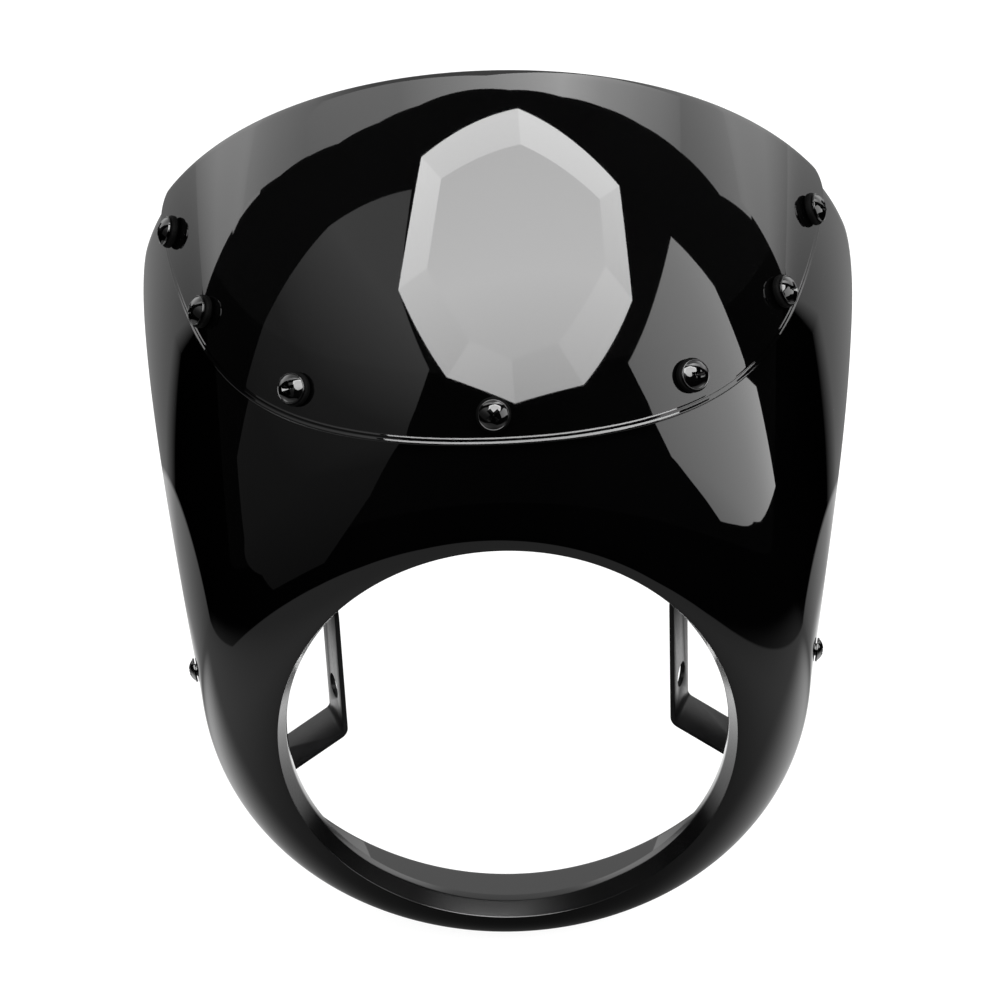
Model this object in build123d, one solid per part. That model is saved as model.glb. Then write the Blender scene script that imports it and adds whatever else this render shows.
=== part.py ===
from build123d import *
import math
import os

# Headlight cowl for a motorbike. A moulded shell with a round lamp opening carries a smoked windscreen that
# laps over its top edge, and two strap brackets hold it in front of the fork. Millimetres, +Z up. The lamp
# looks along -Y. Pieces are drawn from the front rim of the opening, in the plane Y = 0, and moved at the end
# so that the origin is the centre of the land that the lamp's ring sits in.

# Lamp opening: a land for the lamp's ring, and a lip that widens from it to the rim
LAMP_RADIUS = 87.0
LAND_LENGTH = 3.5
LIP_SPREAD = 5.0
LIP_LEAN_ANGLE = 67.0
LIP_WALL = 3.0
RIM_FLAT = 0.2
RIM_ROLL = 2.5

# Moulded form behind the rim: a rounded shoulder, then walls that flare back
SHOULDER_DEPTH = 14.6
SHOULDER_SIDE = 24.4
SHOULDER_TOP = 13.9
SHOULDER_BOTTOM = 12.4
SIDE_FLARE_ANGLE = 12.9
SIDE_SWEEP = 2220.0
TOP_FLARE_ANGLE = 70.8
TOP_SWEEP = 240.0
BOTTOM_FLARE_ANGLE = 8.0
WALL = 3.0

# Rear edge in side view: upright below, slanted back above, with a rounded rear corner
REAR_BACK = 50.0
REAR_BEND_HEIGHT = 1.5
REAR_BEND_RADIUS = 150.0
CORNER_BACK = 215.0
CORNER_HEIGHT = 94.0
CORNER_RADIUS = 25.0
TOP_EDGE_LEAN_ANGLE = 37.0

# Windscreen and its lap over the shell, with its lower edge measured up from the rim
SCREEN_THICKNESS = 3.0
SCREEN_EDGE_RISE = 37.9
SCREEN_EDGE_SLOPE_ANGLE = 6.8
SCREEN_CORNER = 8.0
LAP = 21.5
LAP_TAPER_ANGLE = 2.8
LAP_GAP = 0.3

# Windscreen screws, fanned about a point inside the cowl
SCREW_HUB_BACK = 150.0
SCREW_FAN_ANGLES = (-84.0, -58.5, -32.0, 0.0, 32.0, 58.5, 84.0)
SCREW_INSET = 9.6
SCREW_RADIUS = 2.5
SCREW_HEAD_RADIUS = 5.8
SCREW_HEAD_EDGE = 0.8
SCREW_HEAD_CROWN = 3.2
SCREW_HEAD_HEIGHT = 3.2
SCREW_TAIL = 1.5
RUBBER_RADIUS = 6.6
RUBBER_THICKNESS = 3.0

# Nuts on the screws and the bolts
NUT_ACROSS_FLATS = 8.0
NUT_HEIGHT = 4.0

# Strap brackets
STRAP_WIDTH = 20.0
STRAP_THICKNESS = 2.0
STRAP_TURN_ANGLE = 18.7
STRAP_BEND = 4.0
LEG_OFFSET = 69.5
LEG_BACK = 49.0
LEG_TOP = 42.0
LEG_BEND_HEIGHT = -23.5
STRIP_FALL_ANGLE = 27.0
WALL_LEG_TOP = 30.0
LEG_END_ROUND = 9.0
FORK_HOLE_HEIGHT = -6.0
FORK_HOLE_RADIUS = 5.2

# Bracket bolts
BOLT_HEIGHTS = (-19.0, 17.0)
BOLT_RADIUS = 2.5
BOLT_HEAD_RADIUS = 4.8
BOLT_HEAD_EDGE = 0.6
BOLT_HEAD_CROWN = 2.6
BOLT_HEAD_HEIGHT = 2.8
BOLT_TAIL = 1.5
WASHER_RADIUS = 5.0
WASHER_THICKNESS = 1.0

# Clearances
HOLE_CLEARANCE = 0.3
SEAT_GAP = 0.3
THREAD_CLEARANCE = 0.1


rim_radius = LAMP_RADIUS + LIP_SPREAD
screen_edge_height = rim_radius + SCREEN_EDGE_RISE


def slope(angle):
    """Rise for each millimetre along a line at this angle in degrees."""
    return math.tan(math.radians(angle))


def sweep_rise(back, flare, radius):
    """Height gained along an arc that leaves the rim at the flare angle and bends back towards the Y axis."""
    turn = math.radians(flare)
    reach = radius * math.sin(turn)
    return math.sqrt(radius**2 - (back - reach) ** 2) - radius * math.cos(turn)


def cross_section(back, roll):
    """Upright slice of the form: an ellipse, with roll 0 at the rim and 1 behind the shoulder."""
    half_width = rim_radius + SHOULDER_SIDE * roll + sweep_rise(back, SIDE_FLARE_ANGLE, SIDE_SWEEP)
    top = rim_radius + SHOULDER_TOP * roll + sweep_rise(back, TOP_FLARE_ANGLE, TOP_SWEEP)
    bottom = rim_radius + SHOULDER_BOTTOM * roll + back * slope(BOTTOM_FLARE_ANGLE)
    half_height = (top + bottom) / 2
    middle = Plane(origin=(0, back, (top - bottom) / 2), x_dir=(1, 0, 0), z_dir=(0, -1, 0))
    over = Edge.make_ellipse(half_width, half_height, plane=middle, start_angle=0, end_angle=180)
    under = Edge.make_ellipse(half_width, half_height, plane=middle, start_angle=180, end_angle=360)
    return Face(Wire([over, under]))


def form_stations(depth):
    """Slices along the form: even turns of the shoulder, then steps that grow towards the back."""
    turns = 6
    growth = 1.25
    quarter = [math.radians(90 * i / turns) for i in range(turns + 1)]
    stations = [(SHOULDER_DEPTH * (1 - math.cos(turn)), math.sin(turn)) for turn in quarter]
    run = depth - SHOULDER_DEPTH
    step = SHOULDER_DEPTH * math.sin(quarter[1])
    count = round(math.log(1 + run * (growth - 1) / step) / math.log(growth))
    for i in range(1, count + 1):
        stations.append((SHOULDER_DEPTH + run * (growth**i - 1) / (growth**count - 1), 1.0))
    return stations


def skin_seat(skin, start, direction):
    """Point where a line from start leaves the skin, as a plane that faces outward."""
    start = Vector(start)
    direction = Vector(direction)
    hits = [hit for face in skin for hit in face.find_intersection_points(Axis(start, direction))]
    point, normal = next(hit for hit in hits if (hit[0] - start).dot(direction) > 0)
    if normal.dot(direction) < 0:
        normal = normal * -1
    return Plane(origin=point, z_dir=normal)


def crowned_fastener(radius, head_radius, head_edge, head_crown, head_height, shank):
    """Head with a sloped crown that stands on the XY plane, with its shank below."""
    outline = Polyline(
        (0, -shank),
        (radius, -shank),
        (radius, 0),
        (head_radius, 0),
        (head_radius, head_edge),
        (head_crown, head_height),
        (0, head_height),
        close=True,
    )
    return revolve(Plane.XZ * make_face(outline), axis=Axis.Z)


def ring(outer, inner, thickness):
    """Flat ring that stands on the XY plane."""
    return extrude(Circle(outer) - Circle(inner), amount=thickness)


def drill(seat, radius, depth):
    """Round cutter through a seat, to this depth on both sides."""
    return seat * Cylinder(radius, 2 * depth)


# Outer form of the cowl, and its wall
form_depth = CORNER_BACK + CORNER_RADIUS
form = loft([cross_section(back, roll) for back, roll in form_stations(form_depth)])
skin = form.faces().filter_by(GeomType.PLANE, reverse=True)
wall = form - offset(form, -WALL)

# Side-view outlines: Y runs along the sketch, Z up it
side = Plane(origin=(0, 0, 0), x_dir=(0, 1, 0), z_dir=(1, 0, 0))
form_box = form.bounding_box()
above = form_box.max.Z
below = form_box.min.Z
reach = form_box.max.X
ahead = -WALL
shell_slope = slope(SCREEN_EDGE_SLOPE_ANGLE - LAP_TAPER_ANGLE)
screen_slope = slope(SCREEN_EDGE_SLOPE_ANGLE)
shell_top = screen_edge_height + LAP
top_lean = slope(TOP_EDGE_LEAN_ANGLE)


def top_edge_meets(height, rise):
    """Point of the slanted top edge where a line with this height at the rim and this rise crosses it."""
    back = (CORNER_BACK - (height - CORNER_HEIGHT) * top_lean) / (1 + rise * top_lean)
    return back, height + rise * back


shell_outline = FilletPolyline(
    (ahead, below),
    (REAR_BACK, below),
    (REAR_BACK, REAR_BEND_HEIGHT),
    (CORNER_BACK, CORNER_HEIGHT),
    top_edge_meets(shell_top, shell_slope),
    (ahead, shell_top + shell_slope * ahead),
    radius=(0, 0, REAR_BEND_RADIUS, CORNER_RADIUS, 0, 0),
    close=True,
)
screen_outline = FilletPolyline(
    (ahead, screen_edge_height + screen_slope * ahead),
    top_edge_meets(screen_edge_height, screen_slope),
    top_edge_meets(above, 0),
    (ahead, above),
    radius=(0, SCREEN_CORNER, 0, 0),
    close=True,
)

# Turned-in lip round the lamp opening, with a land for the lamp's ring
lip_slope = slope(LIP_LEAN_ANGLE)
lip_edge = rim_radius - RIM_FLAT - RIM_ROLL * slope(LIP_LEAN_ANGLE / 2)
lip_outside = LIP_WALL / math.sin(math.radians(LIP_LEAN_ANGLE))
land_start = (lip_edge - LAMP_RADIUS) * lip_slope
land_end = land_start + LAND_LENGTH
plug_line = Polyline(
    (0, WALL / 2),
    (lip_edge + lip_outside - WALL / 2 / lip_slope, WALL / 2),
    (LAMP_RADIUS + LIP_WALL, land_end),
    (0, land_end),
    close=True,
)
opening_line = Polyline(
    (0, ahead),
    (lip_edge - ahead / lip_slope, ahead),
    (LAMP_RADIUS, land_start),
    (LAMP_RADIUS, land_end - ahead),
    (0, land_end - ahead),
    close=True,
)
cowl = wall + revolve(make_face(plug_line), axis=Axis.Y) - revolve(make_face(opening_line), axis=Axis.Y)
rim_edge = cowl.edges().filter_by(GeomType.CIRCLE).filter_by_position(Axis.Y, -RIM_FLAT, RIM_FLAT)
cowl = fillet(rim_edge.sort_by(SortBy.RADIUS)[0], RIM_ROLL)

# Shell and windscreen
fairing_shell = cowl & extrude(side * make_face(shell_outline), amount=reach, both=True)
lapped = form & extrude(side * make_face(screen_outline), amount=reach, both=True)
lapped_skin = lapped.faces().filter_by(GeomType.PLANE, reverse=True).sort_by(SortBy.AREA)[-1]
spacer = Solid.thicken(lapped_skin, LAP_GAP)
screen_skin = spacer.faces().sort_by(SortBy.AREA)[-1]
windscreen = Part() + Solid.thicken(screen_skin, SCREEN_THICKNESS)

# Windscreen screws with a rubber washer under the head and a nut behind the wall
screw_height = screen_edge_height + SCREW_INSET
screw_hub = (0, SCREW_HUB_BACK, screw_height + screen_slope * SCREW_HUB_BACK)
screen_outside = LAP_GAP + SCREEN_THICKNESS
rubber_base = screen_outside + SEAT_GAP
head_base = rubber_base + RUBBER_THICKNESS + SEAT_GAP
nut_base = -(WALL + SEAT_GAP + NUT_HEIGHT)
screw_shank = head_base - nut_base + SCREW_TAIL
screw = crowned_fastener(
    SCREW_RADIUS, SCREW_HEAD_RADIUS, SCREW_HEAD_EDGE, SCREW_HEAD_CROWN, SCREW_HEAD_HEIGHT, screw_shank
)
rubber = ring(RUBBER_RADIUS, SCREW_RADIUS + HOLE_CLEARANCE, RUBBER_THICKNESS)
hexagon = RegularPolygon(NUT_ACROSS_FLATS / 2, 6, major_radius=False)
screw_nut = extrude(hexagon - Circle(SCREW_RADIUS + THREAD_CLEARANCE), amount=NUT_HEIGHT)

windscreen_screws = []
screw_washers = []
windscreen_nuts = []
for angle in SCREW_FAN_ANGLES:
    fan = math.radians(angle)
    towards = (math.sin(fan), -math.cos(fan), -math.cos(fan) * screen_slope)
    seat = skin_seat(skin, screw_hub, towards)
    hole = drill(seat, SCREW_RADIUS + HOLE_CLEARANCE, head_base)
    fairing_shell = fairing_shell - hole
    windscreen = windscreen - hole
    windscreen_screws.append(seat * Pos(0, 0, head_base) * screw)
    screw_washers.append(seat * Pos(0, 0, rubber_base) * rubber)
    windscreen_nuts.append(seat * Pos(0, 0, nut_base) * screw_nut)

# Right bracket: an upright inner leg, a strip that falls outward and a leg that follows the wall
turn = math.radians(STRAP_TURN_ANGLE)
outward = Vector(math.cos(turn), -math.sin(turn), 0)
strap_plane = Plane(origin=(LEG_OFFSET, LEG_BACK, 0), x_dir=outward, z_dir=outward.cross(Vector(0, 0, 1)))
strip_slope = slope(STRIP_FALL_ANGLE)
strap_half = STRAP_THICKNESS / 2
strap_below = strap_half / math.cos(math.radians(STRIP_FALL_ANGLE))
strap_line = FilletPolyline(
    (0, LEG_TOP), (0, LEG_BEND_HEIGHT), (reach, LEG_BEND_HEIGHT - strip_slope * reach), radius=STRAP_BEND
)
strap = extrude(strap_plane * trace(strap_line, STRAP_THICKNESS), amount=STRAP_WIDTH / 2, both=True)
leg_ends = strap.edges().filter_by(Axis((0, 0, 0), outward)).group_by(Axis.Z)[-1]
strap = fillet(leg_ends, LEG_END_ROUND)
band_line = Polyline(
    (STRAP_BEND, LEG_BEND_HEIGHT - strap_below - strip_slope * STRAP_BEND),
    (reach, LEG_BEND_HEIGHT - strap_below - strip_slope * reach),
    (reach, WALL_LEG_TOP),
    (STRAP_BEND, WALL_LEG_TOP),
    close=True,
)
band = extrude(strap_plane * make_face(band_line), amount=STRAP_WIDTH / 2, both=True)
band_ends = band.edges().filter_by(Axis((0, 0, 0), outward)).group_by(Axis.Z)[-1]
band = fillet(band_ends, LEG_END_ROUND)
leg_outside = WALL + SEAT_GAP
leg_inside = leg_outside + STRAP_THICKNESS
room = offset(form, -leg_outside)
core = offset(form, -leg_inside)
right_bracket = (strap & room) + (band & (room - core))
fork_seat = Plane(origin=(LEG_OFFSET, LEG_BACK, FORK_HOLE_HEIGHT), z_dir=outward)
right_bracket = right_bracket - drill(fork_seat, FORK_HOLE_RADIUS, STRAP_THICKNESS)

# Bracket bolts with a washer and a nut inside the wall leg
washer_base = -(leg_inside + SEAT_GAP + WASHER_THICKNESS)
bolt_nut_base = washer_base - SEAT_GAP - NUT_HEIGHT
bolt_shank = SEAT_GAP - bolt_nut_base + BOLT_TAIL
bolt = crowned_fastener(
    BOLT_RADIUS, BOLT_HEAD_RADIUS, BOLT_HEAD_EDGE, BOLT_HEAD_CROWN, BOLT_HEAD_HEIGHT, bolt_shank
)
washer = ring(WASHER_RADIUS, BOLT_RADIUS + HOLE_CLEARANCE, WASHER_THICKNESS)
bolt_nut = extrude(hexagon - Circle(BOLT_RADIUS + THREAD_CLEARANCE), amount=NUT_HEIGHT)
bracket_bolts = []
bracket_washers = []
bracket_nuts = []
for height in BOLT_HEIGHTS:
    seat = skin_seat(skin, (LEG_OFFSET, LEG_BACK, height), outward)
    hole = drill(seat, BOLT_RADIUS + HOLE_CLEARANCE, leg_inside + STRAP_THICKNESS)
    fairing_shell = fairing_shell - hole - mirror(hole, about=Plane.YZ)
    right_bracket = right_bracket - hole
    for stack, place, piece in (
        (bracket_bolts, SEAT_GAP, bolt),
        (bracket_washers, washer_base, washer),
        (bracket_nuts, bolt_nut_base, bolt_nut),
    ):
        seated = seat * Pos(0, 0, place) * piece
        stack.extend([seated, mirror(seated, about=Plane.YZ)])
left_bracket = mirror(right_bracket, about=Plane.YZ)

# Every piece is moved so that the lamp's land is centred on the origin
nodes = {
    "fairing_shell": [fairing_shell],
    "windscreen": [windscreen],
    "windscreen_screws": windscreen_screws,
    "screw_washers": screw_washers,
    "windscreen_nuts": windscreen_nuts,
    "left_bracket": [left_bracket],
    "right_bracket": [right_bracket],
    "bracket_bolts": bracket_bolts,
    "bracket_washers": bracket_washers,
    "bracket_nuts": bracket_nuts,
}
to_land = Pos(0, -(land_start + land_end) / 2, 0)
os.makedirs("parts", exist_ok=True)
for name, pieces in nodes.items():
    solids = [solid for piece in pieces for solid in (to_land * piece).solids()]
    export_step(Compound(solids), f"parts/{name}.step")
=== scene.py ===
import logging
import math
from dataclasses import dataclass
from enum import Enum
from typing import Any, Callable

import bmesh
import bpy
from mathutils import Matrix, Vector


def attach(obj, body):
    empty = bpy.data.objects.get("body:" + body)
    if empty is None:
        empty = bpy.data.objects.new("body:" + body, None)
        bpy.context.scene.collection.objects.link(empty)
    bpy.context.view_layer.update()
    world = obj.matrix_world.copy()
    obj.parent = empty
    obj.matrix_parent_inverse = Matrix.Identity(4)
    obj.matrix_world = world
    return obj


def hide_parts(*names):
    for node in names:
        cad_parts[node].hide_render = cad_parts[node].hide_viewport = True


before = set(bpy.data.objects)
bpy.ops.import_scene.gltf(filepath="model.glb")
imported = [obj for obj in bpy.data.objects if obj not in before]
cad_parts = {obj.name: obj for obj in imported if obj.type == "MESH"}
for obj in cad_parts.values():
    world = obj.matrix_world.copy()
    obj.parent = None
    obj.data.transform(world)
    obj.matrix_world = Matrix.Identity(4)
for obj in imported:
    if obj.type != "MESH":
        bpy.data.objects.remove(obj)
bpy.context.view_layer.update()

LOG = logging.getLogger("headlight_cowl")

SHARP_ANGLE = math.radians(40.0)
MERGE_DISTANCE = 1e-6
CUT_DISTANCE = 1e-7
WHITE = (1.0, 1.0, 1.0, 1.0)

# Noise value at which a mottled colour starts to change
WIDE_MIX = 0.3
TIGHT_MIX = 0.35

# Steps of the searches by halves and by thirds, and the length of line searched for a seat
HALVINGS = 40
THIRDINGS = 60
SEAT_REACH = 0.4

Pair = tuple[float, float]
Triple = tuple[float, float, float]

# Metres, +Z up. The lamp looks along -Y and the origin is the centre of the land that its ring sits in.


# Shader graphs


class Value:
    """A number socket that takes part in Python arithmetic by adding Math nodes."""

    def __init__(self, graph: "Graph", socket: bpy.types.NodeSocket) -> None:
        """Wrap one output socket of a graph."""
        self.graph = graph
        self.socket = socket

    def _math(self, operation: str, first: Any, second: Any) -> "Value":
        """Result of one Math node for two values or numbers."""
        made = self.graph.node("ShaderNodeMath", {"operation": operation}, {0: first, 1: second})
        return Value(self.graph, made.outputs[0])

    def __add__(self, other: Any) -> "Value":
        """Sum of two values."""
        return self._math("ADD", self, other)

    def __radd__(self, other: Any) -> "Value":
        """Sum with a number on the left."""
        return self._math("ADD", other, self)

    def __sub__(self, other: Any) -> "Value":
        """Difference of two values."""
        return self._math("SUBTRACT", self, other)

    def __rsub__(self, other: Any) -> "Value":
        """Difference from a number on the left."""
        return self._math("SUBTRACT", other, self)

    def __mul__(self, other: Any) -> "Value":
        """Product of two values."""
        return self._math("MULTIPLY", self, other)

    def __rmul__(self, other: Any) -> "Value":
        """Product with a number on the left."""
        return self._math("MULTIPLY", other, self)

    def __abs__(self) -> "Value":
        """Size without sign."""
        return self._math("ABSOLUTE", self, 0.0)


class Graph:
    """Node graph of one material, with its output node."""

    def __init__(self, name: str) -> None:
        """Start an empty material.

        Args:
            name: The material's name.
        """
        self.material = bpy.data.materials.new(name)
        self.material.use_nodes = True
        self.tree = self.material.node_tree
        self.tree.nodes.clear()
        self.output = self.node("ShaderNodeOutputMaterial")

    def node(
        self, kind: str, settings: dict[str, Any] | None = None, inputs: dict[Any, Any] | None = None
    ) -> bpy.types.Node:
        """Add a node.

        Args:
            kind: The node's type name.
            settings: Properties that are set first, with a ramp's stops under "stops".
            inputs: Values, sockets or Value objects by input name or number.

        Returns:
            The new node.
        """
        made = self.tree.nodes.new(kind)
        for key, setting in (settings or {}).items():
            if key == "stops":
                self._set_stops(made.color_ramp, setting)
            else:
                setattr(made, key, setting)
        for key, given in (inputs or {}).items():
            socket = made.inputs[key]
            if isinstance(given, Value):
                given = given.socket
            if isinstance(given, bpy.types.NodeSocket):
                self.tree.links.new(given, socket)
            else:
                socket.default_value = given
        return made

    @staticmethod
    def _set_stops(ramp: bpy.types.ColorRamp, stops: list[tuple[float, Triple]]) -> None:
        """Give a colour ramp its stops.

        Args:
            ramp: The ramp to fill.
            stops: Positions with their colours, in order.
        """
        while len(ramp.elements) < len(stops):
            ramp.elements.new(1.0)
        for element, (position, colour) in zip(ramp.elements, stops):
            element.position = position
            element.color = (*colour, 1.0)

    def place(self) -> bpy.types.NodeSocket:
        """Object coordinates, which stay with the piece."""
        return self.node("ShaderNodeTexCoord").outputs["Object"]

    def coordinates(self) -> list[Value]:
        """The three object coordinates, one by one."""
        parts = self.node("ShaderNodeSeparateXYZ", None, {0: self.place()})
        return [Value(self, part) for part in parts.outputs]

    def noise(self, scale: float, detail: float = 3.0) -> Value:
        """Noise from 0 to 1, with about that many waves in a metre and that many finer layers."""
        inputs = {"Vector": self.place(), "Scale": scale, "Detail": detail}
        return Value(self, self.node("ShaderNodeTexNoise", None, inputs).outputs[0])

    def attribute(self, name: str) -> Value:
        """Number that the mesh carries under a name, 0 where it has none."""
        return Value(self, self.node("ShaderNodeAttribute", {"attribute_name": name}).outputs["Fac"])

    def ramp(self, value: Value, stops: list[tuple[float, Triple]]) -> bpy.types.NodeSocket:
        """Colour that follows a value through stops, which are positions with colours."""
        return self.node("ShaderNodeValToRGB", {"stops": stops}, {0: value}).outputs["Color"]

    def mottled(self, noise: Value, low: float, dark: Triple, light: Triple) -> bpy.types.NodeSocket:
        """Colour that goes from dark to light as a noise rises from a low value to 1 less that."""
        return self.ramp(noise, [(low, dark), (1 - low, light)])

    def clamped(self, value: Value) -> Value:
        """Value held between 0 and 1."""
        return Value(self, self.node("ShaderNodeClamp", None, {0: value}).outputs[0])

    def bump(self, height: Value, distance: float, strength: float) -> bpy.types.NodeSocket:
        """Surface normal disturbed by a height from 0 to 1, over a distance in metres."""
        inputs = {"Height": height, "Distance": distance, "Strength": strength}
        return self.node("ShaderNodeBump", None, inputs).outputs["Normal"]

    def leave_unsampled(self) -> None:
        """Keep a glow from being sampled as a lamp, so that only reflections meet it."""
        self.material.cycles.emission_sampling = "NONE"

    def surface(self, kind: str, inputs: dict[str, Any]) -> bpy.types.Material:
        """Finish the material with one shader.

        Args:
            kind: The shader node's type name.
            inputs: Its inputs by name.

        Returns:
            The finished material.
        """
        shader = self.node(kind, None, inputs)
        self.tree.links.new(shader.outputs[0], self.output.inputs["Surface"])
        return self.material


# Finishes


@dataclass(frozen=True)
class Moulding:
    """Gloss plastic with a slow tint change, a faint moulded ripple and fine handling haze.

    Where a piece has the attribute "satin", its skin is that much rougher.
    """

    name: str
    dark: Triple
    light: Triple
    tint_scale: float = 9.0
    roughness: float = 0.012
    haze: float = 0.02
    haze_scale: float = 60.0
    ripple: float = 0.000004
    ripple_scale: float = 45.0
    satin: float = 0.16
    ior: float = 1.5
    alpha: float = 1.0

    def material(self) -> bpy.types.Material:
        """Build the material.

        Returns:
            The material.
        """
        graph = Graph(self.name)
        tint = graph.noise(self.tint_scale)
        haze = graph.noise(self.haze_scale, detail=5.0)
        ripple = graph.noise(self.ripple_scale, detail=1.0)
        return graph.surface(
            "ShaderNodeBsdfPrincipled",
            {
                "Base Color": graph.mottled(tint, WIDE_MIX, self.dark, self.light),
                "Roughness": self.roughness + self.haze * haze + self.satin * graph.attribute("satin"),
                "Normal": graph.bump(ripple, self.ripple, strength=1.0),
                "IOR": self.ior,
                "Alpha": self.alpha,
            },
        )


@dataclass(frozen=True)
class Grained:
    """Plated or painted steel, or rubber, with a fine grain and slight wear in its tone."""

    name: str
    dark: Triple
    light: Triple
    roughness: float
    metallic: float = 0.0
    tone_scale: float = 120.0
    tone_detail: float = 4.0
    grain_scale: float = 700.0
    relief: float = 0.00003
    relief_strength: float = 0.6
    specular: float = 0.5
    wear: float = 0.12

    def material(self) -> bpy.types.Material:
        """Build the material.

        Returns:
            The material.
        """
        graph = Graph(self.name)
        tone = graph.noise(self.tone_scale, self.tone_detail)
        fine = graph.noise(self.grain_scale, detail=2.0)
        return graph.surface(
            "ShaderNodeBsdfPrincipled",
            {
                "Base Color": graph.mottled(tone, TIGHT_MIX, self.dark, self.light),
                "Roughness": self.roughness + self.wear * (fine - 0.5),
                "Metallic": self.metallic,
                "Specular IOR Level": self.specular,
                "Normal": graph.bump(fine, self.relief, self.relief_strength),
            },
        )


@dataclass(frozen=True)
class PaleFloor:
    """White studio floor that glows a little, so that it stays white round the object."""

    name: str = "pale_floor"
    tone: float = 0.12
    unevenness: float = 0.02
    patch_scale: float = 6.0
    roughness: float = 0.9
    glow: float = 0.95

    def material(self) -> bpy.types.Material:
        """Build the material.

        Returns:
            The material.
        """
        graph = Graph(self.name)
        patch = graph.noise(self.patch_scale)
        low = (self.tone - self.unevenness,) * 3
        return graph.surface(
            "ShaderNodeBsdfPrincipled",
            {
                "Base Color": graph.mottled(patch, WIDE_MIX, low, (self.tone,) * 3),
                "Roughness": self.roughness,
                "Emission Color": WHITE,
                "Emission Strength": self.glow,
            },
        )


class Run(Enum):
    """Direction along which a panel's light changes, as a coordinate of the studio."""

    ACROSS = 0
    DEEP = 1
    UP = 2


@dataclass(frozen=True)
class Glow:
    """Lit face of a softbox or a backdrop, with light that changes along it."""

    name: str
    strength: float
    run: Run
    start: float
    end: float
    steps: tuple[Pair, ...]
    sampled: bool = False

    def material(self) -> bpy.types.Material:
        """Build the material, which is sampled as a lamp or only met by reflections.

        Returns:
            The material.
        """
        graph = Graph(self.name)
        if not self.sampled:
            graph.leave_unsampled()
        along = graph.coordinates()[self.run.value]
        share = (along - self.start) * (1 / (self.end - self.start))
        colour = graph.ramp(share, [(position, (level,) * 3) for position, level in self.steps])
        return graph.surface("ShaderNodeEmission", {"Color": colour, "Strength": self.strength})


@dataclass(frozen=True)
class Pool:
    """Pool of light on the floor.

    It has a centre, half lengths, light at the centre, crispness of the edge and skew.
    """

    across: float
    deep: float
    half_width: float
    half_depth: float
    light: float
    edge: float = 1.0
    skew: float = 0.0


@dataclass(frozen=True)
class PoolOfLight:
    """Dark floor with crisp lit patches, soft pools and a lit strip that widens to the rear."""

    name: str
    pools: tuple[Pool, ...]
    patches: tuple[Pool, ...]
    strip_start: float = 0.1
    strip_spread: float = 1.25
    flare_start: float = 0.6
    strip_flare: float = 0.7
    strip_edge: float = 12.0
    strip_light: float = 0.05
    strip_growth: float = 0.42
    strip_lean: float = 0.1
    patch_light: float = 0.37
    shade: Pool = Pool(0.0, -0.05, 0.3, 0.25, 1.0)

    def material(self) -> bpy.types.Material:
        """Build the material.

        Returns:
            The material.
        """
        graph = Graph(self.name)
        graph.leave_unsampled()
        across, deep, _ = graph.coordinates()
        half = (deep - self.strip_start) * self.strip_spread
        half = half + graph.clamped(deep - self.flare_start) * self.strip_flare
        strip = graph.clamped((half - abs(across)) * self.strip_edge)
        light = strip * (self.strip_light + self.strip_growth * deep) * (1 + self.strip_lean * across)

        def within(pool: Pool) -> Value:
            """How far inside a pool a place is.

            Args:
                pool: The pool.

            Returns:
                The share, from 0 at its edge to 1.
            """
            first = (across - pool.across) * (1 / pool.half_width)
            second = (deep - pool.deep - pool.skew * (across - pool.across)) * (1 / pool.half_depth)
            return graph.clamped((1 - (first * first + second * second)) * pool.edge)

        shade = within(self.shade)
        lit = within(self.patches[0])
        for patch in self.patches[1:]:
            lit = graph.clamped(lit + within(patch))
        light = light + lit * (1 - shade * shade) * self.patch_light
        for pool in self.pools:
            share = within(pool)
            light = light + share * share * pool.light
        colour = graph.node("ShaderNodeCombineXYZ", None, {0: light, 1: light, 2: light}).outputs[0]
        return graph.surface("ShaderNodeEmission", {"Color": colour})


GLOSS_BLACK = Moulding(
    "gloss_black_shell", dark=(0.00012, 0.00012, 0.00013), light=(0.0003, 0.0003, 0.00033)
)
SMOKED = Moulding(
    "smoked_screen",
    dark=(0.00015, 0.00015, 0.00016),
    light=(0.0004, 0.0004, 0.00042),
    ior=1.49,
    alpha=0.97,
)
BLACK_STRAP = Grained(
    "black_strap",
    dark=(0.003, 0.003, 0.0032),
    light=(0.006, 0.006, 0.0063),
    roughness=0.36,
    specular=0.15,
)
BLACK_SCREW = Grained(
    "black_screw",
    dark=(0.0002, 0.0002, 0.0002),
    light=(0.0005, 0.0005, 0.0005),
    roughness=0.04,
    relief=0.000002,
    wear=0.03,
)
ZINC = Grained("zinc_nut", dark=(0.42, 0.43, 0.45), light=(0.56, 0.57, 0.59), roughness=0.3, metallic=1.0)
BLACK_RUBBER = Grained(
    "black_rubber",
    dark=(0.0003, 0.0003, 0.0003),
    light=(0.0007, 0.0007, 0.0007),
    roughness=0.675,
    tone_scale=200.0,
    tone_detail=3.0,
    grain_scale=1500.0,
    relief=0.00005,
    relief_strength=0.7,
    specular=0.03,
    wear=0.15,
)

MADE: dict[str, bpy.types.Material] = {}


def dressing(finish: Moulding | Grained) -> bpy.types.Material:
    """Material of a finish, made once.

    Args:
        finish: The finish.

    Returns:
        Its material.
    """
    if finish.name not in MADE:
        MADE[finish.name] = finish.material()
    return MADE[finish.name]


# Meshes


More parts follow.
